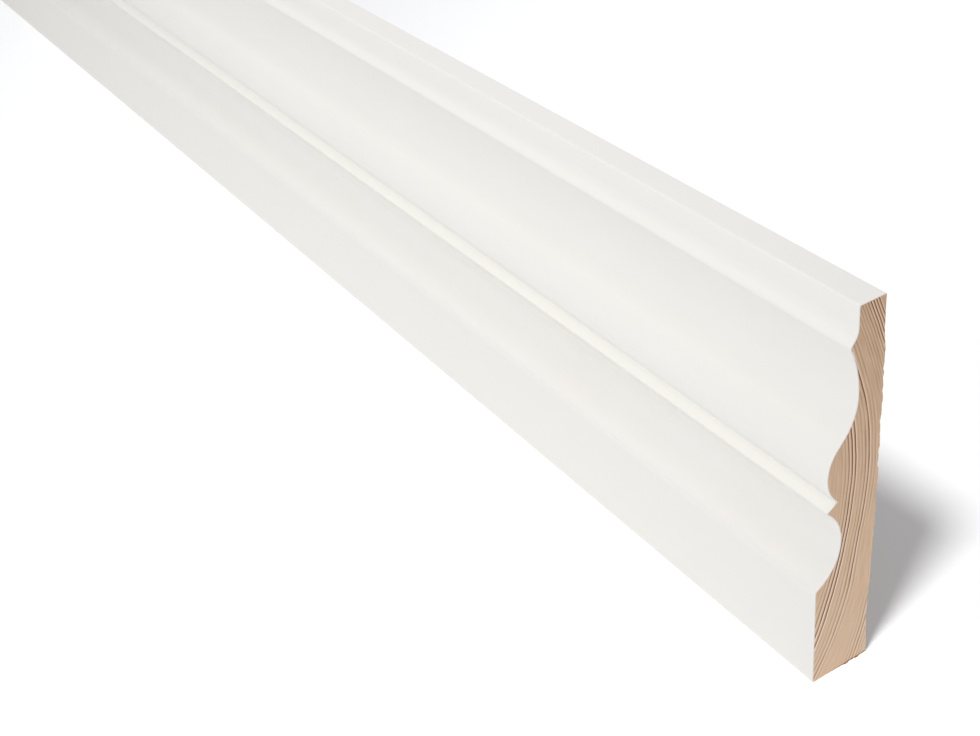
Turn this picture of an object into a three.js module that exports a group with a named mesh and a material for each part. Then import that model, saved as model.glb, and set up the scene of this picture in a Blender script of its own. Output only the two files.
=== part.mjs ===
// A length of classic moulded skirting board, machined from one piece of pine and painted white.
// Units are millimetres. X runs along the board, Y from the moulded front to the flat back, Z up.
// The origin is at the middle of the underside.

import * as THREE from "three";

// Overall size of the board
const LENGTH = 800;
const HEIGHT = 120;
const THICKNESS = 20;

// Moulding, from the floor up. A setback is measured back from the face of the plinth.
const PLINTH_HEIGHT = 34;
const COVE_RADIUS = 15.4;
const COVE_SETBACK = 8.4;
const LOWER_NOSE_HEIGHT = 59.6;
const QUIRK_HEIGHT = 61.9;
const BELLY_RADIUS = 12.8;
const BELLY_SETBACK = 2.8;
const BELLY_HEIGHT = 70.9;
const HOLLOW_RADIUS = 18.2;
const HOLLOW_SETBACK = 12.2;
const SWEEP_RADIUS = 35.5;
const UPPER_NOSE_HEIGHT = 108.5;
const SPLAY_TOP_HEIGHT = 111.6;
const TOP_SETBACK = 11.2;

// How far each edge is eased, along the faces on both sides of it
const ARRIS_EASE = 0.6;
const NOSE_EASE = 0.8;
const SPLAY_EASE = 2;
const BACK_EDGE_EASE = 0.3;

// Straight pieces in an eased edge. A moulded curve has twice as many.
const EDGE_SEGMENTS = 10;

// Satin white paint
const PAINT_COLOUR = "#eeece8";
const PAINT_ROUGHNESS = 0.42;

// A circle that the cutter follows. Its angles start towards the back and turn upwards.
class Round {
  constructor(setback, height, radius) {
    this.centre = new THREE.Vector2(setback, height);
    this.radius = radius;
  }

  // Angle of the point at a given height on the half towards the back.
  backAngle(height) {
    return Math.asin((height - this.centre.y) / this.radius);
  }

  // Angle of the point at a given height on the half towards the front.
  frontAngle(height) {
    return Math.PI - this.backAngle(height);
  }

  // Angle, from minus half a turn to half a turn, at which a point is seen from the centre.
  angleTowards(point) {
    return Math.atan2(point.y - this.centre.y, point.x - this.centre.x);
  }

  pointAt(angle) {
    const arm = new THREE.Vector2(Math.cos(angle), Math.sin(angle));
    return arm.multiplyScalar(this.radius).add(this.centre);
  }

  // Draws the circle's stretch between two angles, whichever of them is the greater.
  drawOn(outline, startAngle, endAngle) {
    const clockwise = endAngle < startAngle;
    outline.absarc(this.centre.x, this.centre.y, this.radius, startAngle, endAngle, clockwise);
  }
}

// Third side of a right-angled triangle.
function remainingSide(longest, side) {
  return Math.sqrt(longest ** 2 - side ** 2);
}

// Point a given length from one corner on the way to another.
function along(from, to, length) {
  return to.clone().sub(from).setLength(length).add(from);
}

// Draws the rounding of a corner, from where the outline stands to the face that follows.
function easeTo(outline, corner, end) {
  outline.quadraticCurveTo(corner.x, corner.y, end.x, end.y);
}

// Draws a straight face up to a corner, and the corner's rounding on to the next straight face.
function faceTo(outline, before, corner, after, ease) {
  const start = along(corner, before, ease);
  outline.lineTo(start.x, start.y);
  easeTo(outline, corner, along(corner, after, ease));
}

// The circles of the moulding. The belly flows into the hollow, and the hollow into its sweep.
function mouldingRounds() {
  const coveCentre = COVE_SETBACK - COVE_RADIUS;
  const coveRise = remainingSide(COVE_RADIUS, coveCentre);
  const cove = new Round(coveCentre, PLINTH_HEIGHT + coveRise, COVE_RADIUS);

  const bellyCentre = BELLY_SETBACK + BELLY_RADIUS;
  const belly = new Round(bellyCentre, BELLY_HEIGHT, BELLY_RADIUS);

  const hollowCentre = HOLLOW_SETBACK - HOLLOW_RADIUS;
  const hollowRise = remainingSide(BELLY_RADIUS + HOLLOW_RADIUS, bellyCentre - hollowCentre);
  const hollow = new Round(hollowCentre, BELLY_HEIGHT + hollowRise, HOLLOW_RADIUS);

  const sweep = new Round(HOLLOW_SETBACK - SWEEP_RADIUS, hollow.centre.y, SWEEP_RADIUS);
  return { cove, belly, hollow, sweep };
}

// Cross-section of the board: x is the setback behind the plinth's face, y the height.
// It is drawn from the toe along the underside, up the back, and down the moulded front.
function crossSection() {
  const { cove, belly, hollow, sweep } = mouldingRounds();

  const toe = new THREE.Vector2(0, 0);
  const heel = new THREE.Vector2(THICKNESS, 0);
  const topBack = new THREE.Vector2(THICKNESS, HEIGHT);
  const topFront = new THREE.Vector2(TOP_SETBACK, HEIGHT);
  const splayTop = new THREE.Vector2(TOP_SETBACK, SPLAY_TOP_HEIGHT);
  const plinthArris = new THREE.Vector2(0, PLINTH_HEIGHT);

  const upperNoseAngle = sweep.backAngle(UPPER_NOSE_HEIGHT);
  const upperNose = sweep.pointAt(upperNoseAngle);
  const sweepTopAngle = upperNoseAngle - NOSE_EASE / SWEEP_RADIUS;

  const flowAngle = belly.angleTowards(hollow.centre);
  const quirkAngle = belly.frontAngle(QUIRK_HEIGHT);
  const quirk = belly.pointAt(quirkAngle);

  const lowerNoseAngle = cove.backAngle(LOWER_NOSE_HEIGHT);
  const lowerNose = cove.pointAt(lowerNoseAngle);
  const coveTopAngle = lowerNoseAngle - NOSE_EASE / COVE_RADIUS;
  const coveFootAngle = cove.angleTowards(plinthArris) + ARRIS_EASE / COVE_RADIUS;

  const outline = new THREE.Shape();
  outline.moveTo(ARRIS_EASE, 0);
  faceTo(outline, toe, heel, topBack, BACK_EDGE_EASE);
  faceTo(outline, heel, topBack, topFront, BACK_EDGE_EASE);
  faceTo(outline, topBack, topFront, splayTop, ARRIS_EASE);
  faceTo(outline, topFront, splayTop, upperNose, SPLAY_EASE);

  const splayFoot = along(upperNose, splayTop, NOSE_EASE);
  outline.lineTo(splayFoot.x, splayFoot.y);
  easeTo(outline, upperNose, sweep.pointAt(sweepTopAngle));
  sweep.drawOn(outline, sweepTopAngle, 0);
  hollow.drawOn(outline, 0, flowAngle - Math.PI);
  belly.drawOn(outline, flowAngle, quirkAngle);

  const shelfEdge = along(lowerNose, quirk, NOSE_EASE);
  outline.lineTo(shelfEdge.x, shelfEdge.y);
  easeTo(outline, lowerNose, cove.pointAt(coveTopAngle));
  cove.drawOn(outline, coveTopAngle, coveFootAngle);

  easeTo(outline, plinthArris, along(plinthArris, toe, ARRIS_EASE));
  faceTo(outline, plinthArris, toe, heel, ARRIS_EASE);
  return outline;
}

// The board, run through from end to end and cut square.
function skirtingBoard() {
  const geometry = new THREE.ExtrudeGeometry(crossSection(), {
    depth: LENGTH,
    bevelEnabled: false,
    curveSegments: EDGE_SEGMENTS,
  });
  const material = new THREE.MeshStandardMaterial({
    color: PAINT_COLOUR,
    roughness: PAINT_ROUGHNESS,
    metalness: 0,
  });
  const board = new THREE.Mesh(geometry, material);
  board.name = "skirting_board";

  // The section is drawn lying flat and runs upwards, so it is turned to stand on its underside.
  const setbackAxis = new THREE.Vector3(0, 1, 0);
  const heightAxis = new THREE.Vector3(0, 0, 1);
  const lengthAxis = new THREE.Vector3(1, 0, 0);
  const upright = new THREE.Matrix4().makeBasis(setbackAxis, heightAxis, lengthAxis);
  board.quaternion.setFromRotationMatrix(upright);
  board.position.set(-LENGTH / 2, -THICKNESS / 2, 0);
  return board;
}

const part = new THREE.Group();
part.add(skirtingBoard());

export default part;
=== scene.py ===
"""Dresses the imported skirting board.

The moulded front and the top are satin white paint. The sawn ends, back and underside are bare pine.
"""

import logging
import math
from dataclasses import dataclass, field
from enum import Enum
from typing import Any, Mapping, Sequence

import bpy
import numpy as np
from mathutils import Euler, Matrix, Vector, geometry, noise


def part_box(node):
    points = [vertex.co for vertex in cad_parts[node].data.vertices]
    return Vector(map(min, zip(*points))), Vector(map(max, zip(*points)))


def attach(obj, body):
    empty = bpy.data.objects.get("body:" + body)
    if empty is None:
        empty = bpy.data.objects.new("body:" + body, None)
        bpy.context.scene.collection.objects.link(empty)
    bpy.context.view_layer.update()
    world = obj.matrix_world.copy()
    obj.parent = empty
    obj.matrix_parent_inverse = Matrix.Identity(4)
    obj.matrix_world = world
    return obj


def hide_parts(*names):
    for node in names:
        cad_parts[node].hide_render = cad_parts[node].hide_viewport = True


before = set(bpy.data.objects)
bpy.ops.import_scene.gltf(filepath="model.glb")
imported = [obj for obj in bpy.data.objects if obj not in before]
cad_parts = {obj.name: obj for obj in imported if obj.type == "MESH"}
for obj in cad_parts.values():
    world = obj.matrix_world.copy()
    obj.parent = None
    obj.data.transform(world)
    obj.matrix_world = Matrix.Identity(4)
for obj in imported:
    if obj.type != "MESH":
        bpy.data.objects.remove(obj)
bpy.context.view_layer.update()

MM = 0.001
IMAGE_WIDTH_PX = 980
NODE = "skirting_board"
# Two places closer than this are the same place.
TOUCH_MM = 0.01
# How Blender's triangulation is asked for: what lies inside the outline, with no points joined.
INSIDE_ONLY = 1
WELD_MM = 1e-6
# Most of Blender's noise lies between these two levels.
NOISE_LOW = 0.3
NOISE_HIGH = 0.7

log = logging.getLogger("skirting board")

Pair = tuple[float, float]
Triple = tuple[float, float, float]
Tree = bpy.types.NodeTree
ShaderNode = bpy.types.Node
Socket = bpy.types.NodeSocket
Object = bpy.types.Object


def linear(hex_colour: str) -> tuple[float, float, float, float]:
    """Turn an sRGB hex colour into linear light.

    Args:
        hex_colour: Six hex digits after a hash sign.

    Returns:
        Red, green, blue and an alpha of one.
    """
    channels = []
    for start in (1, 3, 5):
        value = int(hex_colour[start:start + 2], 16) / 255
        channels.append(value / 12.92 if value <= 0.04045 else ((value + 0.055) / 1.055) ** 2.4)
    return (channels[0], channels[1], channels[2], 1.0)


def smoothstep(low: float, high: float, value: np.ndarray) -> np.ndarray:
    """Ease from 0 at low to 1 at high.

    Args:
        low: Where the ease starts.
        high: Where it ends. It may lie below low.
        value: Where to read it.

    Returns:
        The eased values, from 0 to 1.
    """
    share = np.clip((np.asarray(value, float) - low) / (high - low), 0.0, 1.0)
    return share * share * (3.0 - 2.0 * share)


def rough(values: np.ndarray, pitch: float, seed: float) -> np.ndarray:
    """Read smooth repeatable noise along a line.

    Args:
        values: Places along the line.
        pitch: Distance over which the noise changes.
        seed: A different number gives a different line.

    Returns:
        Noise from about -1 to 1 at each place.
    """
    return np.array([noise.noise(Vector((value / pitch, seed, 0.37 * seed))) for value in values])


def add_node(
    tree: Tree,
    kind: str,
    inputs: Mapping[Any, Any] | None = None,
    stops: Sequence[tuple[float, Any]] = (),
    output: Any = 0,
    **settings: Any,
) -> Socket:
    """Add a shader node with its settings and links.

    Args:
        tree: The node tree that it joins.
        kind: Blender's name for the node's type, after its ShaderNode prefix.
        inputs: Input name or number, and the value it takes or the output that is linked to it.
        stops: For a colour ramp, each stop's place and its grey level or colour.
        output: Name or number of the output that is wanted.
        settings: The node's own settings.

    Returns:
        The output. It knows the node that it belongs to.
    """
    made = tree.nodes.new(f"ShaderNode{kind}")
    for name, value in settings.items():
        setattr(made, name, value)
    for key, value in (inputs or {}).items():
        if isinstance(value, Socket):
            tree.links.new(value, made.inputs[key])
        else:
            made.inputs[key].default_value = value
    for index, (place, level) in enumerate(stops):
        elements = made.color_ramp.elements
        stop = elements[index] if index < len(elements) else elements.new(place)
        stop.position = place
        stop.color = level if isinstance(level, tuple) else (level, level, level, 1.0)
    return made.outputs[output]


class Finish:
    """A finish of the board or the studio, drawn as one material."""

    name: str

    def draw(self, tree: Tree, shader: ShaderNode) -> None:
        """Link the finish's patterns to the shader and set its plain values."""
        raise NotImplementedError

    def material(self) -> bpy.types.Material:
        """Make the material.

        Returns:
            A material whose shader and patterns are in place.
        """
        made = bpy.data.materials.new(self.name)
        made.use_nodes = True
        self.draw(made.node_tree, made.node_tree.nodes["Principled BSDF"])
        return made


@dataclass(frozen=True)
class SatinPaint(Finish):
    """Satin acrylic paint, sprayed on planed and primed pine."""

    # A warm white with a low sheen. It looks smooth, and close up it has a faint orange peel.
    name: str = "satin_acrylic_paint_sprayed_on_pine"
    full_coat: str = "#ebe8e2"
    thin_coat: str = "#e9e5df"
    # Sharp edges are a touch darker: partly the thinner coat there, partly painted shade that damps their
    # highlight.
    edge_thin_coat_and_shade: str = "#e8e5df"
    # Painted light: a lighter colour round the lip, over the shelf and the crease that the belly above
    # shades.
    lip_painted_light: str = "#f1eee7"
    lip_light_place_mm: Pair = (-3.7, 58.0)
    lip_light_full_mm: float = 4.5
    lip_light_reach_mm: float = 9.0
    # Painted shade: a greyer colour over the plinth, to darken it.
    plinth_painted_shade: str = "#e7e4de"
    plinth_shade_full_mm: float = 30.0
    plinth_shade_end_mm: float = 35.0
    roughness_low: float = 0.36
    roughness_high: float = 0.46
    cloud_mm: float = 45.0
    # Orange peel in a sprayed coat is 1 to 3 mm across and a few thousandths deep.
    peel_mm: float = 1.3
    peel_depth_mm: float = 0.006
    # The grain that telegraphs through the coat is drawn about as wide as one year's latewood.
    grain_width_mm: float = 0.9
    grain_length_mm: float = 70.0
    grain_depth_mm: float = 0.008

    def coat(self, tree: Tree, place: Socket) -> Socket:
        """Draw the coat's colour, with its clouds, its thinner edges with painted shade, painted light
        round the lip and painted shade on the plinth.

        Args:
            tree: The material's node tree.
            place: Position in metres.

        Returns:
            An output with the colour.
        """
        clouds = add_node(
            tree, "TexNoise", {"Vector": place, "Scale": 1 / (self.cloud_mm * MM), "Detail": 3.0}
        )

        # Round the lip the coat is painted lighter. This is painted light over the shelf and the crease,
        # which the belly above shades.
        crosswise = add_node(tree, "VectorMath", {0: place, 1: (0.0, 1.0, 1.0)}, operation="MULTIPLY")
        lip = Vector((0.0, *self.lip_light_place_mm)) * MM
        from_lip = add_node(
            tree, "VectorMath", {0: crosswise, 1: lip}, operation="DISTANCE", output="Value"
        )

        # The plinth below the moulding is painted greyer. This is painted shade that darkens it.
        height = add_node(tree, "SeparateXYZ", {0: place}, output="Z")

        # The coat pulls back from sharp edges, so a little of the primer and wood warms them. Their colour
        # is also a touch darker, which is painted shade that damps the edges' highlight.
        edge = add_node(tree, "Attribute", attribute_name=Section.EDGE_ATTRIBUTE, output="Fac")

        shares = [(clouds, self.thin_coat)]
        for distance, none_mm, full_mm, other in (
            (from_lip, self.lip_light_reach_mm, self.lip_light_full_mm, self.lip_painted_light),
            (height, self.plinth_shade_end_mm, self.plinth_shade_full_mm, self.plinth_painted_shade),
        ):
            span = {0: distance, 1: none_mm * MM, 2: full_mm * MM}
            shares.append((add_node(tree, "MapRange", span, interpolation_type="SMOOTHSTEP"), other))
        shares.append((edge, self.edge_thin_coat_and_shade))
        colour: Any = linear(self.full_coat)
        for share, other in shares:
            mixed = {0: share, 6: colour, 7: linear(other)}
            colour = add_node(tree, "Mix", mixed, data_type="RGBA", output=2)
        return colour

    def draw(self, tree: Tree, shader: ShaderNode) -> None:
        """Draw the coat, its orange peel and the grain that shows through it.

        Args:
            tree: The material's node tree.
            shader: The node that the patterns are linked to.
        """
        place = add_node(tree, "TexCoord", output="Object")
        peel = add_node(
            tree, "TexNoise", {"Vector": place, "Scale": 1 / (self.peel_mm * MM), "Detail": 1.5}
        )
        drawn_out = (self.grain_width_mm / self.grain_length_mm, 1.0, 1.0)
        stretched = add_node(tree, "VectorMath", {0: place, 1: drawn_out}, operation="MULTIPLY")
        grain = add_node(
            tree, "TexNoise", {"Vector": stretched, "Scale": 1 / (self.grain_width_mm * MM), "Detail": 2.0}
        )
        peel_bump = add_node(tree, "Bump", {"Distance": self.peel_depth_mm * MM, "Height": peel})
        grain_bump = add_node(
            tree, "Bump", {"Distance": self.grain_depth_mm * MM, "Height": grain, "Normal": peel_bump}
        )
        shine = {0: peel, 1: NOISE_LOW, 2: NOISE_HIGH, 3: self.roughness_low, 4: self.roughness_high}
        gloss = add_node(tree, "MapRange", shine)
        tree.links.new(self.coat(tree, place), shader.inputs["Base Color"])
        tree.links.new(gloss, shader.inputs["Roughness"])
        tree.links.new(grain_bump, shader.inputs["Normal"])


class Cut(Enum):
    """How a bare face of the pine was cut."""

    SAWN_END = "sawn_end_grain"
    PLANED = "planed_along_the_grain"


@dataclass(frozen=True)
class RingBand:
    """A run of evenly spaced growth rings, by their distance from the tree's heart.

    Each year has a number that says how dark its latewood is.
    """

    first_mm: float
    spacing_mm: float
    years: tuple[float, ...]
    lean: float = 0.0
    fades_below_mm: float | None = None
    fades_above_mm: float | None = None


@dataclass(frozen=True)
class Pine(Finish):
    """Bare Scots pine. Its growth rings run through the whole board, so every face shows the same tree."""

    # Pale wood with thin brown lines. The sawn end is matt and shows arcs, the planed faces long flames.
    cut: Cut = Cut.PLANED
    cream: str = "#fdead8"
    body: str = "#debd9c"
    latewood: str = "#854a12"
    roughness: float = 0.72
    heart_setback_mm: float = -107.0
    heart_height_mm: float = 66.0
    near_end_mm: float = 400.0
    sway_mm: float = 0.55
    sway_length_mm: float = 70.0
    sway_start_mm: float = 62.5
    half_thickness_mm: float = 10.0
    taper: float = 0.0085
    wobble_mm: float = 0.5
    wobble_size_mm: float = 9.0
    wobble_length_mm: float = 180.0
    spread_from_mm: float = 46.0
    spread_full_mm: float = 24.0
    spread_about_mm: float = 120.6
    spread_share: float = 0.22
    # One year's tone, from its place in the year. It darkens to the latewood and then starts pale.
    year_tones: tuple[Pair, ...] = (
        (0.0, 0.5), (0.08, 0.54), (0.18, 0.85), (0.25, 1.0), (0.49, 1.0),
        (0.55, 0.0), (0.7, 0.12), (0.92, 0.46), (1.0, 0.5),
    )
    latewood_place: float = 0.4
    # The same years cross the foot, the middle and the top. Their latewood is darkest in the middle.
    ring_bands: tuple[RingBand, ...] = (
        RingBand(
            114.7, 1.165, (0.12, 0.25, 0.6, 1.05, 1.0, 0.12, 0.25, 0.4, 0.5, 0.2), fades_above_mm=30.0
        ),
        RingBand(
            114.7, 1.165, (0.12, 0.25, 0.6, 1.05, 1.0, 0.12, 0.25, 0.55, 0.85, 0.22),
            fades_below_mm=30.0, fades_above_mm=82.0,
        ),
        RingBand(
            114.7, 1.165, (0.12, 0.25, 0.6, 1.0, 0.85, 0.12, 0.2, 0.25, 0.8, 0.15), fades_below_mm=82.0
        ),
        RingBand(126.25, 1.165, (0.2,), fades_below_mm=50.0),
        RingBand(
            128.7, 0.84, (0.2, 0.2, 0.2, 0.25, 0.3, 0.4, 0.75, 0.75, 0.7, 0.7), fades_below_mm=90.0
        ),
        RingBand(131.5, 0.94, (0.2, 0.25, 0.55, 0.55, 0.25, 0.2), lean=0.117, fades_above_mm=20.0),
    )
    band_fade_mm: float = 12.0
    vigour_mm: float = 14.0
    vigour: Pair = (0.7, 1.2)
    speckle: Pair = (0.38, 0.52)
    speckle_noise: Pair = (0.25, 0.75)
    darker_per_mm: float = 0.0016
    # Pine fibres are about 0.03 mm wide and 3 mm long. They are drawn coarser, in the bundles the eye sees.
    fibre_mm: float = 0.45
    fibre_length_mm: float = 22.0
    stria_mm: float = 0.5
    stria_length_mm: float = 9.0
    overspray: str = "#e6e2da"
    overspray_mm: float = 4.0
    overspray_cover: Pair = (0.25, 0.85)
    top_edge_mm: float = 120.0
    toe_edge_mm: float = -10.0
    # Painted contact shade along the sawn end's bottom edge, where it meets the table.
    contact_shade_mm: float = 0.55
    contact_shade_from_mm: float = -5.0
    contact_shade_full_mm: float = 3.0
    contact_shade_tone: float = 0.75
    relief_mm: float = 0.012
    # A fine saw leaves a score for each 1 to 2 mm of feed. A planer leaves ripples twice as far apart.
    saw_pitch_mm: float = 1.4
    saw_way: Triple = (0.0, 0.35, 0.94)
    ripple_pitch_mm: float = 2.8
    ripple_way: Triple = (1.0, 0.0, 0.0)
    score_depth_mm: float = 0.0125
    score_strength: float = 0.5

    @property
    def name(self) -> str:
        """Name the material for the wood and its cut."""
        return f"scots_pine_{self.cut.value}"

    def ring_distance(self, tree: Tree, place: Socket) -> Socket:
        """Find how far a point is from the tree's heart, counted in years' growth that sways and wanders.

        Args:
            tree: The material's node tree.
            place: Position in millimetres.

        Returns:
            An output with the distance in millimetres.
        """
        x, setback, height = add_node(tree, "SeparateXYZ", {0: place}).node.outputs

        # A tree tapers, so the rings come in towards the far end. That draws long flames on the back.
        to_heart = self.half_thickness_mm - self.heart_setback_mm - self.taper * self.near_end_mm
        taper = add_node(tree, "Math", {0: x, 1: self.taper, 2: to_heart}, operation="MULTIPLY_ADD")
        across = add_node(tree, "Math", {0: setback, 1: taper}, operation="ADD")
        up = add_node(tree, "Math", {0: height, 1: self.heart_height_mm}, operation="SUBTRACT")
        arm = add_node(tree, "CombineXYZ", {0: across, 1: up})
        reach = add_node(tree, "VectorMath", {0: arm}, operation="LENGTH", output="Value")

        wave = 2 * math.pi / self.sway_length_mm
        start = -wave * self.sway_start_mm
        turn = add_node(tree, "Math", {0: height, 1: wave, 2: start}, operation="MULTIPLY_ADD")
        sway = add_node(tree, "Math", {0: turn}, operation="SINE")
        swayed = add_node(tree, "Math", {0: sway, 1: -self.sway_mm, 2: reach}, operation="MULTIPLY_ADD")

        shape = (self.wobble_size_mm / self.wobble_length_mm, 1.0, 1.0)
        drawn_out = add_node(tree, "VectorMath", {0: place, 1: shape}, operation="MULTIPLY")
        wander = add_node(
            tree, "TexNoise", {"Vector": drawn_out, "Scale": 1 / self.wobble_size_mm, "Detail": 2.0}
        )
        wobble = add_node(tree, "MapRange", {0: wander, 3: -self.wobble_mm / 2, 4: self.wobble_mm / 2})
        distance = add_node(tree, "Math", {0: swayed, 1: wobble}, operation="ADD")

        # The tree grew faster on the side that became the board's foot, so the rings are wider apart there.
        spread = {0: height, 1: self.spread_from_mm, 2: self.spread_full_mm, 4: self.spread_share}
        share = add_node(tree, "MapRange", spread, interpolation_type="SMOOTHSTEP")
        short = add_node(tree, "Math", {0: self.spread_about_mm, 1: distance}, operation="SUBTRACT")
        return add_node(tree, "Math", {0: short, 1: share, 2: distance}, operation="MULTIPLY_ADD")

    def band_tone(
        self, tree: Tree, band: RingBand, distance: Socket, height: Socket, vigour: Socket, tone: Socket
    ) -> Socket:
        """Add one band's rings to the wood's tone.

        Each year darkens slowly to its latewood, and the next one starts pale and sharp.

        Args:
            tree: The material's node tree.
            band: The rings to add.
            distance: Distance from the heart, in millimetres.
            height: Height on the board, in millimetres.
            vigour: How strongly the rings show here.
            tone: The tone so far, where 0 is cream, 0.5 the wood's body and 1 latewood.

        Returns:
            An output with the new tone.
        """
        leaned = add_node(tree, "Math", {0: height, 1: band.lean, 2: distance}, operation="MULTIPLY_ADD")
        per_mm = 1 / band.spacing_mm
        start = self.latewood_place - band.first_mm * per_mm
        years = add_node(tree, "Math", {0: leaned, 1: per_mm, 2: start}, operation="MULTIPLY_ADD")
        season = add_node(tree, "Math", {0: years}, operation="FRACT")
        line = add_node(tree, "ValToRGB", {0: season}, self.year_tones)
        swing = add_node(tree, "Math", {0: line, 1: 0.5}, operation="SUBTRACT")

        # One more year on each side has no ring, so that the band stops there.
        step = 1 / (len(band.years) + 2)
        year = add_node(tree, "Math", {0: years, 1: step, 2: step}, operation="MULTIPLY_ADD")
        levels = [(index * step, level) for index, level in enumerate((0.0, *band.years, 0.0))]
        weight = add_node(tree, "ValToRGB", {0: year}, levels)
        weight.node.color_ramp.interpolation = "CONSTANT"
        for edge_mm, full_mm in (
            (band.fades_below_mm, self.band_fade_mm),
            (band.fades_above_mm, -self.band_fade_mm),
        ):
            if edge_mm is None:
                continue
            fade = {0: height, 1: edge_mm - full_mm / 2, 2: edge_mm + full_mm / 2}
            shown = add_node(tree, "MapRange", fade, interpolation_type="SMOOTHSTEP")
            weight = add_node(tree, "Math", {0: weight, 1: shown}, operation="MULTIPLY")
        weight = add_node(tree, "Math", {0: weight, 1: vigour}, operation="MULTIPLY")
        return add_node(tree, "Math", {0: swing, 1: weight, 2: tone}, operation="MULTIPLY_ADD")

    def feathered(
        self, tree: Tree, setback: Socket, height: Socket, patches: Socket, fibres: Socket, wood: Socket
    ) -> Socket:
        """Feather a little overspray round the bare edges next to the paint, at the top and the toe.

        Args:
            tree: The material's node tree.
            setback: Setback from the board's middle, in millimetres.
            height: Height on the board, in millimetres.
            patches: Broad noise.
            fibres: Fine noise.
            wood: The bare wood's colour.

        Returns:
            An output with the colour.
        """
        reaches = []
        for run, edge_mm, inward in ((height, self.top_edge_mm, -1.0), (setback, self.toe_edge_mm, 1.0)):
            none_mm = edge_mm + inward * self.overspray_mm
            reaches.append(add_node(tree, "MapRange", {0: run, 1: none_mm, 2: edge_mm}))
        reach = add_node(tree, "Math", {0: reaches[0], 1: reaches[1]}, operation="MAXIMUM")
        mist = add_node(tree, "Math", {0: patches, 1: fibres}, operation="ADD")
        landed = add_node(tree, "Math", {0: reach, 1: mist}, operation="MULTIPLY")
        bare, full = self.overspray_cover
        cover = add_node(tree, "MapRange", {0: landed, 1: bare, 2: full}, interpolation_type="SMOOTHSTEP")
        mixed = {0: cover, 6: wood, 7: linear(self.overspray)}
        return add_node(tree, "Mix", mixed, data_type="RGBA", output=2)

    def contact_shaded(self, tree: Tree, setback: Socket, height: Socket, tone: Socket) -> Socket:
        """Darken the sawn end's bottom edge towards the heel, as painted shade where the wood meets the
        table.

        Args:
            tree: The material's node tree.
            setback: Setback from the board's middle, in millimetres.
            height: Height on the board, in millimetres.
            tone: The wood's tone so far.

        Returns:
            An output with the new tone.
        """
        low = add_node(tree, "MapRange", {0: height, 1: self.contact_shade_mm, 2: 0.0, 4: self.contact_shade_tone})
        back = add_node(tree, "MapRange", {0: setback, 1: self.contact_shade_from_mm, 2: self.contact_shade_full_mm})
        return add_node(tree, "Math", {0: low, 1: back, 2: tone}, operation="MULTIPLY_ADD")

    def scored(self, tree: Tree, place: Socket, tone: Socket) -> Socket:
        """Raise the latewood a little, and leave the saw's slanting scores or the planer's ripples.

        Args:
            tree: The material's node tree.
            place: Position in millimetres.
            tone: The wood's tone.

        Returns:
            An output with the surface's direction.
        """
        sawn = self.cut is Cut.SAWN_END
        way = self.saw_way if sawn else self.ripple_way
        pitch_mm = self.saw_pitch_mm if sawn else self.ripple_pitch_mm
        grain_bump = add_node(tree, "Bump", {"Distance": self.relief_mm * MM, "Height": tone})
        run = add_node(tree, "VectorMath", {0: place, 1: way}, operation="DOT_PRODUCT", output="Value")
        turn = add_node(tree, "Math", {0: run, 1: 2 * math.pi / pitch_mm}, operation="MULTIPLY")
        scores = add_node(tree, "Math", {0: turn}, operation="SINE")
        marks = {"Strength": self.score_strength, "Distance": self.score_depth_mm * MM, "Height": scores}
        return add_node(tree, "Bump", {**marks, "Normal": grain_bump})

    def draw(self, tree: Tree, shader: ShaderNode) -> None:
        """Draw the rings, the fibres between them and the marks of the cut.

        Args:
            tree: The material's node tree.
            shader: The node that the patterns are linked to.
        """
        metres = add_node(tree, "TexCoord", output="Object")
        place = add_node(tree, "VectorMath", {0: metres, "Scale": 1 / MM}, operation="SCALE")
        along, setback, height = add_node(tree, "SeparateXYZ", {0: place}).node.outputs
        distance = self.ring_distance(tree, place)

        shape = (self.fibre_mm / self.fibre_length_mm, 1.0, 1.0)
        drawn_out = add_node(tree, "VectorMath", {0: place, 1: shape}, operation="MULTIPLY")
        grain_place, grain_mm = drawn_out, self.fibre_mm
        if self.cut is Cut.SAWN_END:
            # Across the grain, the fibres line up in thin streaks that follow the rings.
            slow = self.stria_mm / self.stria_length_mm
            run = add_node(tree, "Math", {0: height, 1: slow}, operation="MULTIPLY")
            grain_place = add_node(tree, "CombineXYZ", {0: distance, 1: run, 2: along})
            grain_mm = self.stria_mm
        fibres = add_node(tree, "TexNoise", {"Vector": grain_place, "Scale": 1 / grain_mm, "Detail": 3.0})
        (low, high), (pale, dark) = self.speckle_noise, self.speckle
        speckle = add_node(tree, "MapRange", {0: fibres, 1: low, 2: high, 3: pale, 4: dark})
        # The rings are closer together towards the top, and the wood between them is darker.
        tone = add_node(
            tree, "Math", {0: height, 1: self.darker_per_mm, 2: speckle}, operation="MULTIPLY_ADD"
        )
        patches = add_node(
            tree, "TexNoise", {"Vector": drawn_out, "Scale": 1 / self.vigour_mm, "Detail": 2.0}
        )
        weak, strong = self.vigour
        span = {0: patches, 1: NOISE_LOW, 2: NOISE_HIGH, 3: weak, 4: strong}
        vigour = add_node(tree, "MapRange", span)
        for band in self.ring_bands:
            tone = self.band_tone(tree, band, distance, height, vigour, tone)
        # The sawn end's bottom edge gets painted contact shade.
        if self.cut is Cut.SAWN_END:
            tone = self.contact_shaded(tree, setback, height, tone)
        colours = ((0.0, linear(self.cream)), (0.5, linear(self.body)), (1.0, linear(self.latewood)))
        wood = add_node(tree, "ValToRGB", {0: tone}, colours)
        if self.cut is Cut.PLANED:
            wood = self.feathered(tree, setback, height, patches, fibres, wood)

        tree.links.new(wood, shader.inputs["Base Color"])
        tree.links.new(self.scored(tree, place, tone), shader.inputs["Normal"])
        shader.inputs["Roughness"].default_value = self.roughness


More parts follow.
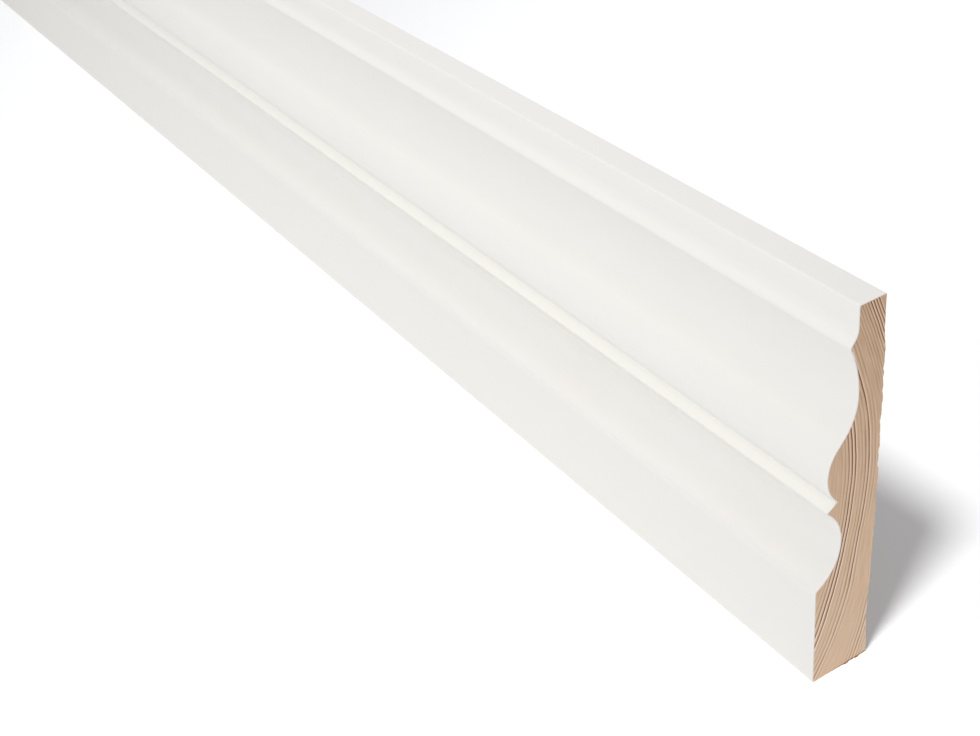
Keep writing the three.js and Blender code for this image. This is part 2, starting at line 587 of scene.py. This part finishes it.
@dataclass(frozen=True)
class WhiteCard(Finish):
    """Matt white card, rolled smooth."""

    # Plain white that never shines, with clouds so faint that it looks even.
    name: str = "matt_white_card_rolled"
    colour: str = "#fbfbfb"
    shade: str = "#f9f9f9"
    roughness: float = 0.9
    cloud_mm: float = 120.0

    def draw(self, tree: Tree, shader: ShaderNode) -> None:
        """Draw the card's faint clouds.

        Args:
            tree: The material's node tree.
            shader: The node that the patterns are linked to.
        """
        place = add_node(tree, "TexCoord", output="Object")
        clouds = add_node(tree, "TexNoise", {"Vector": place, "Scale": 1 / (self.cloud_mm * MM)})
        mixed = {0: clouds, 6: linear(self.colour), 7: linear(self.shade)}
        card = add_node(tree, "Mix", mixed, data_type="RGBA", output=2)
        tree.links.new(card, shader.inputs["Base Color"])
        shader.inputs["Roughness"].default_value = self.roughness
        shader.inputs["Specular IOR Level"].default_value = 0.0


class Face(Enum):
    """A side of the board."""

    FRONT = "front"
    TOP = "top"
    BACK = "back"
    UNDERSIDE = "underside"


@dataclass
class Section:
    """The board's cross-section, as a closed outline of setback and height in millimetres."""

    points: np.ndarray
    thickness_mm: float
    height_mm: float
    front_step_mm: float = 1.0
    bare_step_mm: float = 0.35
    corner_mm: float = 0.8
    pool_mm: float = 1.8
    pool_steps: int = 8
    least_bend: float = 0.01
    edge_bends: Pair = (0.2, 1.6)
    facing: float = 0.7
    wood: np.ndarray = field(init=False)
    normals: np.ndarray = field(init=False)
    faces: list[Face] = field(init=False)
    radii: np.ndarray = field(init=False)
    edges: np.ndarray = field(init=False)

    EDGE_ATTRIBUTE = "sharp_edge_thin_coat_and_shade"

    def __post_init__(self) -> None:
        """Fill the quirk, divide the long faces, and find each point's direction, side and sharpness."""
        divided = self.divided(self.pooled())
        self.points, self.wood = divided[:, :2], divided[:, 2:]
        self.normals = self.outward()
        self.faces = [self.face_of(point, normal) for point, normal in zip(self.points, self.normals)]
        bends = self.bends()
        self.radii = 1.0 / np.maximum(bends, self.least_bend)
        self.edges = smoothstep(*self.edge_bends, bends)

    @classmethod
    def from_node(cls, node: Object) -> "Section":
        """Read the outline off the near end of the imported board.

        Args:
            node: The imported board's object.

        Returns:
            The section, going once round the end face.
        """
        mesh = node.data
        corners = np.array([vertex.co for vertex in mesh.vertices]) / MM
        low, high = corners.min(axis=0), corners.max(axis=0)
        flat = [(round(float(y - low[1]), 4), round(float(z - low[2]), 4)) for _, y, z in corners]
        neighbours: dict[Pair, list[Pair]] = {}
        for polygon in mesh.polygons:
            rim = [flat[index] for index in polygon.vertices if corners[index][0] > high[0] - TOUCH_MM]
            # A face that runs along the board meets its end in two corners.
            if len(rim) == 2 and rim[0] != rim[1]:
                for start, end in (rim, rim[::-1]):
                    neighbours.setdefault(start, []).append(end)
        first = min(neighbours, key=lambda point: (point[1], point[0]))
        loop = [first]
        following = max(neighbours[first], key=lambda point: point[0])
        while following != first:
            before = loop[-1]
            loop.append(following)
            one, other = neighbours[following]
            following = other if one == before else one
        return cls(np.array(loop), float(high[1] - low[1]), float(high[2] - low[2]))

    def pooled(self) -> np.ndarray:
        """Round the one sharp inner corner, where the paint pools as it dries.

        Returns:
            The outline with a small curve in the quirk, and beside it the wood under the paint.
        """
        quirk = int(np.argmin(self.bends()))
        loop = np.roll(self.points, -quirk, axis=0)
        corner = loop[0]
        kept = loop[np.linalg.norm(loop - corner, axis=1) > self.pool_mm]
        ends = []
        for neighbour in (kept[-1], kept[0]):
            way = (neighbour - corner) / np.linalg.norm(neighbour - corner)
            ends.append(corner + way * self.pool_mm)
        shares = np.linspace(0.0, 1.0, self.pool_steps + 1)[:, None]
        curve = (1 - shares) ** 2 * ends[0] + 2 * shares * (1 - shares) * corner + shares**2 * ends[1]
        before = ends[0] + 2 * shares * (corner - ends[0])
        after = corner + (2 * shares - 1) * (ends[1] - corner)
        under = np.where(shares < 0.5, before, after)
        return np.concatenate((np.hstack((curve, under)), np.hstack((kept, kept))))

    def divided(self, outline: np.ndarray) -> np.ndarray:
        """Divide the long straight faces into short steps.

        Args:
            outline: The outline and the wood under it.

        Returns:
            The same with more points.
        """
        made = []
        for start, end in zip(outline, np.roll(outline, -1, axis=0)):
            back = min(start[0], end[0]) > self.thickness_mm - TOUCH_MM
            bare = back or max(start[1], end[1]) < TOUCH_MM
            step = self.bare_step_mm if bare else self.front_step_mm
            count = max(1, math.ceil(np.linalg.norm((end - start)[:2]) / step))
            made.extend(start + (end - start) * (index / count) for index in range(count))
        return np.array(made)

    def outward(self) -> np.ndarray:
        """Find the direction that points out of the wood at each point.

        Returns:
            Unit vectors, in the order of the points.
        """
        ways = np.roll(self.points, -1, axis=0) - self.points
        ways = ways / np.linalg.norm(ways, axis=1)[:, None]
        means = ways + np.roll(ways, 1, axis=0)
        means = means / np.linalg.norm(means, axis=1)[:, None]
        return np.stack((means[:, 1], -means[:, 0]), axis=1)

    def face_of(self, point: np.ndarray, normal: np.ndarray) -> Face:
        """Tell which side a point of the outline lies on.

        Args:
            point: Setback and height.
            normal: The direction out of the wood there.

        Returns:
            The side.
        """
        if point[1] < self.corner_mm and normal[1] < -self.facing:
            return Face.UNDERSIDE
        if point[0] > self.thickness_mm - self.corner_mm and normal[0] > self.facing:
            return Face.BACK
        if point[1] > self.height_mm - self.corner_mm and normal[1] > self.facing:
            return Face.TOP
        return Face.FRONT

    def bends(self) -> np.ndarray:
        """Find how tightly the outline turns round the wood at each point.

        Returns:
            One over the radius in millimetres, and less than zero in a hollow.
        """
        ways = np.roll(self.points, -1, axis=0) - self.points
        lengths = np.linalg.norm(ways, axis=1)
        angles = np.unwrap(np.arctan2(ways[:, 1], ways[:, 0]))
        turns = angles - np.roll(angles, 1)
        turns = (turns + math.pi) % (2 * math.pi) - math.pi
        spans = (lengths + np.roll(lengths, 1)) / 2
        return turns / spans


class End(Enum):
    """An end of the board, by the way it faces along the board."""

    NEAR = 1
    FAR = -1


@dataclass
class SawnEnd:
    """One end of the board as the saw left it: a film of paint round bare wood, and torn fibres."""

    end: End
    section: Section
    film_mm: float = 0.3
    top_film_mm: float = 0.2
    bare_rim_mm: float = 0.25
    film_wander: float = 0.35
    film_wander_mm: float = 2.3
    radius_share: float = 0.6
    gap_share: float = 0.5
    burr_mm: float = 0.62
    burr_from_mm: float = 28.0
    burr_full_mm: float = 62.0
    burr_end_mm: float = 110.0
    burr_stop_mm: float = 6.0
    splinter_pitch_mm: float = 12.0
    splinter_wander: float = 0.5
    splinter_wander_mm: float = 17.0
    splinter_foot: float = 1.1
    splinter_thins: float = 0.4
    ragged_share: float = 0.6
    ragged_pitch_mm: float = 2.1
    fringe_mm: float = 0.16
    fringe_pitch_mm: float = 0.8
    fringe_from_mm: float = 4.0
    fringe_full_mm: float = 9.0
    fringe_lean: float = 0.7
    chip_setbacks_mm: tuple[float, ...] = (12.5, 16.5)
    chip_half_mm: float = 1.1
    chip_flat: float = 0.45
    chip_mm: float = 0.4
    chip_ragged: float = 0.3
    dent_mm: float = 0.5
    dent_height_mm: float = 16.0
    dent_half_mm: float = 12.0
    dent_flat: float = 0.4
    torn_length_mm: float = 2.6
    torn_least_mm: float = 0.3
    torn_even: float = 0.75
    torn_vary: float = 0.6
    torn_vary_mm: float = 1.9
    torn_curve: float = 1.5
    corner_clear_mm: Pair = (0.3, 1.5)
    cell_mm: float = 0.7
    fine_cell_mm: float = 0.3
    fine_width_mm: float = 1.6
    jitter: float = 0.25
    clear_share: float = 0.5
    first_seed: float = 3.7
    seed_step: float = 8.3
    scatter_seed: int = 11

    @property
    def seed(self) -> float:
        """Keep the two ends' tears apart."""
        return self.first_seed + self.seed_step * self.end.value

    def on(self, side: Face) -> np.ndarray:
        """Tell which points of the outline lie on one side."""
        return np.array([face is side for face in self.section.faces])

    def edge_offsets(self) -> np.ndarray:
        """Find how far the fibres lean out, or are broken away, up the back of the very end.

        Returns:
            Millimetres outwards at each point of the outline.
        """
        heights = self.section.points[:, 1]
        bulge = smoothstep(self.burr_from_mm, self.burr_full_mm, heights)
        bulge = bulge * smoothstep(self.burr_end_mm, self.burr_end_mm - self.burr_stop_mm, heights)
        # Each splinter leans out most at its foot, and thins upwards to the next one.
        wander = self.splinter_wander * rough(heights, self.splinter_wander_mm, self.seed)
        splinter = (heights / self.splinter_pitch_mm + wander) % 1.0
        ragged = self.ragged_share * rough(heights, self.ragged_pitch_mm, self.seed + 3.0)
        burr = self.burr_mm * bulge * (self.splinter_foot - self.splinter_thins * splinter + ragged)
        from_dent = np.abs(heights - self.dent_height_mm) / self.dent_half_mm
        dent = -self.dent_mm * smoothstep(1.0, self.dent_flat, from_dent)
        # The tears run out before the corners, so that the outline never folds over itself.
        from_corner = np.minimum(heights, self.section.height_mm - heights)
        clear = smoothstep(*self.corner_clear_mm, from_corner)
        return np.where(self.on(Face.BACK), (burr + dent) * clear, 0.0)

    def fringe(self) -> np.ndarray:
        """Find how far the torn fibres stand beyond the cut, up the back and along the heel.

        Returns:
            Millimetres along the board at each point of the outline.
        """
        section = self.section
        setbacks = section.points[:, 0]
        teeth = 0.5 + rough(section.points.sum(axis=1), self.fringe_pitch_mm, self.seed + 1.0)
        teeth = np.clip(teeth, 0.0, 1.0)
        torn = self.fringe_mm * teeth * (self.on(Face.BACK) | self.on(Face.UNDERSIDE))
        torn = torn * smoothstep(self.fringe_from_mm, self.fringe_full_mm, setbacks)
        for chip in self.chip_setbacks_mm:
            share = smoothstep(1.0, self.chip_flat, np.abs(setbacks - chip) / self.chip_half_mm)
            ragged = 1.0 - self.chip_ragged * (1.0 - teeth)
            torn = np.maximum(torn, self.chip_mm * share * ragged * self.on(Face.UNDERSIDE))
        return torn

    def outline_at(self, inward_mm: float) -> np.ndarray:
        """Give the outline a little way in from the end, where the tears run out.

        Args:
            inward_mm: Distance from the end.

        Returns:
            Setbacks and heights.
        """
        vary = self.torn_vary * rough(self.section.points.sum(axis=1), self.torn_vary_mm, self.seed + 2.0)
        reach = np.maximum(self.torn_length_mm * (self.torn_even + vary), self.torn_least_mm)
        share = np.clip(1.0 - inward_mm / reach, 0.0, 1.0) ** self.torn_curve
        return self.section.points + self.section.normals * (self.edge_offsets() * share)[:, None]

    def film_loop(self) -> np.ndarray:
        """Give the line on the end face where the film of paint stops, or a narrow rim where it is bare.

        Returns:
            Setbacks and heights.
        """
        points = self.section.points
        wander = 1.0 + self.film_wander * rough(points.sum(axis=1), self.film_wander_mm, self.seed + 4.0)
        films = {Face.FRONT: self.film_mm, Face.TOP: self.top_film_mm}
        widths = np.array([films.get(face, self.bare_rim_mm) for face in self.section.faces]) * wander
        # Next to a sharp corner there is room for a narrow rim only.
        gaps = np.linalg.norm(points[:, None] - points[None], axis=2)
        room = self.radius_share * self.section.radii + self.gap_share * gaps
        widths = np.minimum(widths, np.min(room, axis=1))
        under = self.section.wood - points
        return self.outline_at(0.0) + under - self.section.normals * widths[:, None]

    def face_points(self, loop: np.ndarray) -> np.ndarray:
        """Scatter points over the end face, closer together along its bare edges.

        Args:
            loop: The line that they stay inside.

        Returns:
            Setbacks and heights.
        """
        rng = np.random.default_rng(self.scatter_seed + self.end.value)
        kept = []
        for cell, fine in ((self.cell_mm, False), (self.fine_cell_mm, True)):
            columns = np.arange(0.0, self.section.thickness_mm, cell)
            rows = np.arange(0.0, self.section.height_mm, cell)
            grid = np.stack(np.meshgrid(columns, rows), axis=-1).reshape(-1, 2)
            grid = grid + rng.uniform(-self.jitter, self.jitter, grid.shape) * cell
            margin = np.minimum(self.section.thickness_mm - grid[:, 0], grid[:, 1])
            grid = grid[(margin < self.fine_width_mm) == fine]
            grid = grid[self.inside(grid, loop)]
            gaps = np.array([np.min(np.hypot(*(loop - point).T)) for point in grid])
            kept.append(grid[gaps > self.clear_share * cell])
        return np.concatenate(kept)

    @staticmethod
    def inside(points: np.ndarray, loop: np.ndarray) -> np.ndarray:
        """Tell which points lie inside a closed line.

        Args:
            points: Setbacks and heights.
            loop: The line.

        Returns:
            True for each point inside.
        """
        crossings = np.zeros(len(points), int)
        for start, end in zip(loop, np.roll(loop, -1, axis=0)):
            if start[1] == end[1]:
                continue
            straddles = (start[1] > points[:, 1]) != (end[1] > points[:, 1])
            share = (points[:, 1] - start[1]) / (end[1] - start[1])
            crossings += straddles & (points[:, 0] < start[0] + share * (end[0] - start[0]))
        return crossings % 2 == 1


@dataclass
class Board:
    """The whole length of moulding: a painted front and top, and bare wood on the other faces."""

    section: Section
    length_mm: float
    near_steps_mm: tuple[float, ...] = (
        0.15, 0.35, 0.6, 0.9, 1.3, 1.8, 2.5, 3.5, 5.0, 8.0, 13.0, 21.0, 34.0, 52.0, 75.0
    )
    middle_step_mm: float = 36.0
    smooth_angle_deg: float = 35.0
    paint: SatinPaint = SatinPaint()
    end_grain: Pine = Pine(Cut.SAWN_END)
    bare_face: Pine = Pine(Cut.PLANED, cream="#e6d4bb", body="#d2b898", latewood="#a98059", roughness=0.6)

    def __post_init__(self) -> None:
        """Keep the mesh's corners, faces and the finish of each face as they are made."""
        self.vertices: list[Triple] = []
        self.faces: list[tuple[int, ...]] = []
        self.finishes: list[Finish] = []
        self.edges: list[float] = []
        self.ends = {end: SawnEnd(end, self.section) for end in End}

    def stations(self) -> list[tuple[SawnEnd, float]]:
        """List where the outline is drawn along the board.

        Returns:
            The nearer end and the distance from it, from the near end to the far one.
        """
        near, far = self.ends[End.NEAR], self.ends[End.FAR]
        steps = [0.0, *self.near_steps_mm]
        middle = self.length_mm / 2
        count = max(1, round((middle - steps[-1]) / self.middle_step_mm))
        steps.extend(np.linspace(steps[-1], middle, count + 1)[1:])
        return [(near, step) for step in steps] + [(far, step) for step in reversed(steps[:-1])]

    def add_loop(self, end: SawnEnd, inward: np.ndarray, loop: np.ndarray, edges: np.ndarray) -> int:
        """Add corners to the mesh.

        Args:
            end: The end that they are measured from.
            inward: Distance of each corner from that end.
            loop: Setbacks and heights.
            edges: How sharp the edge is at each corner.

        Returns:
            The number of the first one.
        """
        first = len(self.vertices)
        for (setback, height), depth, edge in zip(loop, inward, edges):
            x = end.end.value * (self.length_mm / 2 - depth)
            self.vertices.append((x * MM, (setback - self.section.thickness_mm / 2) * MM, height * MM))
            self.edges.append(float(edge))
        return first

    def add_side(self, corners: tuple[int, ...], finish: Finish, end: End = End.NEAR) -> None:
        """Add one face to the mesh, turned over at the far end so that it looks out of the board."""
        self.faces.append(corners[::end.value])
        self.finishes.append(finish)

    def side_finish(self, index: int) -> Finish:
        """Give the finish between one point of the outline and the next.

        Args:
            index: The number of the first of the two points.

        Returns:
            Paint where both points are painted, or else bare wood.
        """
        faces = self.section.faces
        both = {faces[index], faces[(index + 1) % len(faces)]}
        return self.paint if both <= {Face.FRONT, Face.TOP} else self.bare_face

    def run_sides(self) -> tuple[int, int]:
        """Draw the long faces.

        Returns:
            The numbers of the first corner at the near end and at the far end.
        """
        count = len(self.section.points)
        firsts = []
        for end, inward in self.stations():
            loop = end.outline_at(inward)
            depths = np.full(count, inward) if inward else -end.fringe()
            firsts.append(self.add_loop(end, depths, loop, self.section.edges))
        for near, far in zip(firsts, firsts[1:]):
            for index in range(count):
                following = (index + 1) % count
                corners = (near + following, near + index, far + index, far + following)
                self.add_side(corners, self.side_finish(index))
        return firsts[0], firsts[-1]

    def close_end(self, end: SawnEnd, rim: int) -> None:
        """Draw an end face: the cut edge of the paint film, then the wood inside it.

        Args:
            end: The end to close.
            rim: The number of the first corner of the outline there.
        """
        count = len(self.section.points)
        plain = np.zeros(count)
        loop = end.film_loop()
        film = self.add_loop(end, -end.fringe_lean * end.fringe(), loop, plain)
        inner = end.face_points(loop)
        level = np.zeros(len(inner))
        first_inner = self.add_loop(end, level, inner, level)
        for index in range(count):
            following = (index + 1) % count
            corners = (rim + index, rim + following, film + following, film + index)
            bare = self.side_finish(index) is not self.paint
            self.add_side(corners, self.end_grain if bare else self.paint, end.end)

        flat = [Vector((float(y), float(z))) for y, z in np.concatenate((loop, inner))]
        bounds = [(index, (index + 1) % count) for index in range(count)]
        drawn = geometry.delaunay_2d_cdt(flat, bounds, [], INSIDE_ONLY, WELD_MM, True)
        numbers = [came_from[0] for came_from in drawn[3]]
        middles = np.array(drawn[0])[np.array(drawn[2])].mean(axis=1)
        for triangle, kept in zip(drawn[2], end.inside(middles, loop)):
            if not kept:
                continue
            corners = tuple(
                film + numbers[index] if numbers[index] < count else first_inner + numbers[index] - count
                for index in triangle
            )
            self.add_side(corners, self.end_grain, end.end)

    def build(self) -> Object:
        """Make the board's mesh.

        Returns:
            The board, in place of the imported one.
        """
        for end, rim in zip(self.ends.values(), self.run_sides()):
            self.close_end(end, rim)
        mesh = bpy.data.meshes.new("moulded_board")
        mesh.from_pydata(self.vertices, [], self.faces)
        attribute = mesh.attributes.new(Section.EDGE_ATTRIBUTE, "FLOAT", "POINT")
        attribute.data.foreach_set("value", self.edges)
        board = bpy.data.objects.new("moulded_board", mesh)
        bpy.context.scene.collection.objects.link(board)
        return board

    def dress(self, board: Object) -> None:
        """Give each face its finish and smooth the moulding.

        Args:
            board: The board from build.
        """
        order = (self.paint, self.end_grain, self.bare_face)
        for finish in order:
            board.data.materials.append(finish.material())
        board.data.polygons.foreach_set("material_index", [order.index(finish) for finish in self.finishes])
        board.data.polygons.foreach_set("use_smooth", [True] * len(self.faces))
        board.data.set_sharp_from_angle(angle=math.radians(self.smooth_angle_deg))
        board.data.update()


@dataclass
class Camera:
    """The camera, where the photographer stood."""

    place_mm: Triple = (617.29, -220.74, 317.51)
    turn_deg: float = 61.024
    down_deg: float = 34.269
    roll_deg: float = -6.7415
    focal_px: float = 1504.72
    sensor_mm: float = 36.0

    def build(self) -> Object:
        """Set the camera up and make it the scene's own.

        Returns:
            The camera.
        """
        data = bpy.data.cameras.new("camera")
        data.sensor_fit = "HORIZONTAL"
        data.sensor_width = self.sensor_mm
        data.lens = self.focal_px * self.sensor_mm / IMAGE_WIDTH_PX
        turn, down, roll = (math.radians(angle) for angle in (self.turn_deg, self.down_deg, self.roll_deg))
        aimed = Euler((math.pi / 2 - down, 0.0, turn)).to_matrix().to_4x4() @ Matrix.Rotation(roll, 4, "Z")
        camera = bpy.data.objects.new("camera", data)
        camera.matrix_world = Matrix.Translation(Vector(self.place_mm) * MM) @ aimed
        bpy.context.scene.collection.objects.link(camera)
        bpy.context.scene.camera = camera
        return camera


@dataclass(frozen=True)
class StudioLight:
    """A round lamp that is flagged so that it falls on one thing only.

    With a beam it is a spot with a soft edge, and without one it is a softbox.
    """

    name: str
    aim_mm: Triple
    direction: Triple
    distance_mm: float
    watts: float
    size_mm: float
    spread_deg: float = 180.0
    beam_deg: float | None = None
    colour: str = "#ffffff"

    def build(self, lit: Object) -> Object:
        """Hang the lamp.

        Args:
            lit: The object that it falls on.

        Returns:
            The lamp.
        """
        if self.beam_deg is None:
            data = bpy.data.lights.new(self.name, "AREA")
            data.shape = "DISK"
            data.size = self.size_mm * MM
            data.spread = math.radians(self.spread_deg)
        else:
            data = bpy.data.lights.new(self.name, "SPOT")
            data.shadow_soft_size = self.size_mm / 2 * MM
            data.spot_size = math.radians(self.beam_deg)
            data.spot_blend = 1.0
        data.energy = self.watts
        data.color = linear(self.colour)[:3]
        lamp = bpy.data.objects.new(self.name, data)
        way = Vector(self.direction).normalized()
        lamp.location = (Vector(self.aim_mm) + way * self.distance_mm) * MM
        lamp.rotation_mode = "QUATERNION"
        lamp.rotation_quaternion = way.to_track_quat("Z", "Y")
        receivers = bpy.data.collections.new(f"lit_by_{self.name}")
        receivers.objects.link(lit)
        lamp.light_linking.receiver_collection = receivers
        bpy.context.scene.collection.objects.link(lamp)
        return lamp


@dataclass
class Studio:
    """A white table under cool soft light, with two lamps for the table and two for the board."""

    floor_mm: float = 12000.0
    ambient: float = 0.445
    sky: str = "#f3f7ff"
    card: WhiteCard = WhiteCard()
    table_lights: tuple[StudioLight, ...] = (
        StudioLight("table_softbox", (250.0, 0.0, 0.0), (0.225, -0.42, 0.876), 2000.0, 30.5, 320.0),
        StudioLight("back_spot", (80.0, 430.0, 0.0), (0.0, 0.0, 1.0), 1500.0, 20.0, 200.0, beam_deg=34.0),
    )
    board_lights: tuple[StudioLight, ...] = (
        StudioLight(
            "key_spot", (130.0, 0.0, 60.0), (0.28, -0.551, 0.786), 2000.0, 74.0, 400.0,
            beam_deg=40.0, colour="#fffffc",
        ),
        StudioLight(
            "overhead_softbox", (50.0, 0.0, 60.0), (0.0, 0.0, 1.0), 1000.0, 1.5, 900.0, spread_deg=110.0
        ),
    )

    def build(self, board: Object) -> Object:
        """Lay the table and light it.

        Args:
            board: The board, which has lamps of its own.

        Returns:
            The table's top.
        """
        half = self.floor_mm / 2 * MM
        corners = [(-half, -half, 0.0), (half, -half, 0.0), (half, half, 0.0), (-half, half, 0.0)]
        mesh = bpy.data.meshes.new("table")
        mesh.from_pydata(corners, [], [(0, 1, 2, 3)])
        table = bpy.data.objects.new("table", mesh)
        mesh.materials.append(self.card.material())
        bpy.context.scene.collection.objects.link(table)
        for light in self.table_lights:
            light.build(table)
        for light in self.board_lights:
            light.build(board)
        world = bpy.data.worlds.new("studio")
        world.use_nodes = True
        background = world.node_tree.nodes["Background"]
        background.inputs["Color"].default_value = linear(self.sky)
        background.inputs["Strength"].default_value = self.ambient
        scene = bpy.context.scene
        scene.world = world
        scene.view_settings.view_transform = "Standard"
        return table


def main() -> None:
    """Build the board and the studio, and report each piece."""
    logging.basicConfig(level=logging.INFO, format="%(name)s: %(message)s")
    low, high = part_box(NODE)
    section = Section.from_node(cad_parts[NODE])
    board = Board(section, (high.x - low.x) / MM)
    piece = board.build()
    board.dress(piece)
    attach(piece, "root")
    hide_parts(NODE)
    log.info("%s: %d faces, %d points round the section", piece.name, len(board.faces), len(section.points))

    table = Studio().build(piece)
    log.info("%s: stage", table.name)
    camera = Camera().build()
    log.info("%s: lens %.2f mm", camera.name, camera.data.lens)


if __name__ == "__main__":
    main()
